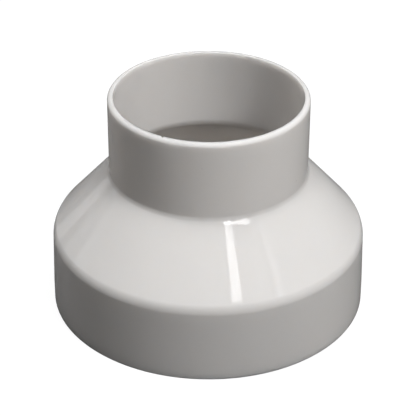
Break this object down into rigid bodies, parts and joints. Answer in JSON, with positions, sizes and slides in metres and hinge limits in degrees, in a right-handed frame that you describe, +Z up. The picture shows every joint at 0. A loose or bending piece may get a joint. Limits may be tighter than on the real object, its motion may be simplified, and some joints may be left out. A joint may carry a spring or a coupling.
{
  "type": "duct reducer",
  "caption": "Moulded plastic duct reducer: a wide plain spigot, a cone and a narrow plain spigot on one axis, joining a wide round duct to a narrow one.",
  "frame": {"origin": "centre of the wide mouth, on the plane that the reducer stands on", "axes": "+Z up the duct axis from the wide mouth to the narrow one; -Y is the front in the picture"},
  "size_m": [0.16, 0.16, 0.114],
  "materials": {
    "moulded_plastic": "light warm grey, polished-mould gloss"
  },
  "bodies": {
    "root": {"reducer_body": "moulded_plastic"}
  },
  "joints": []
}
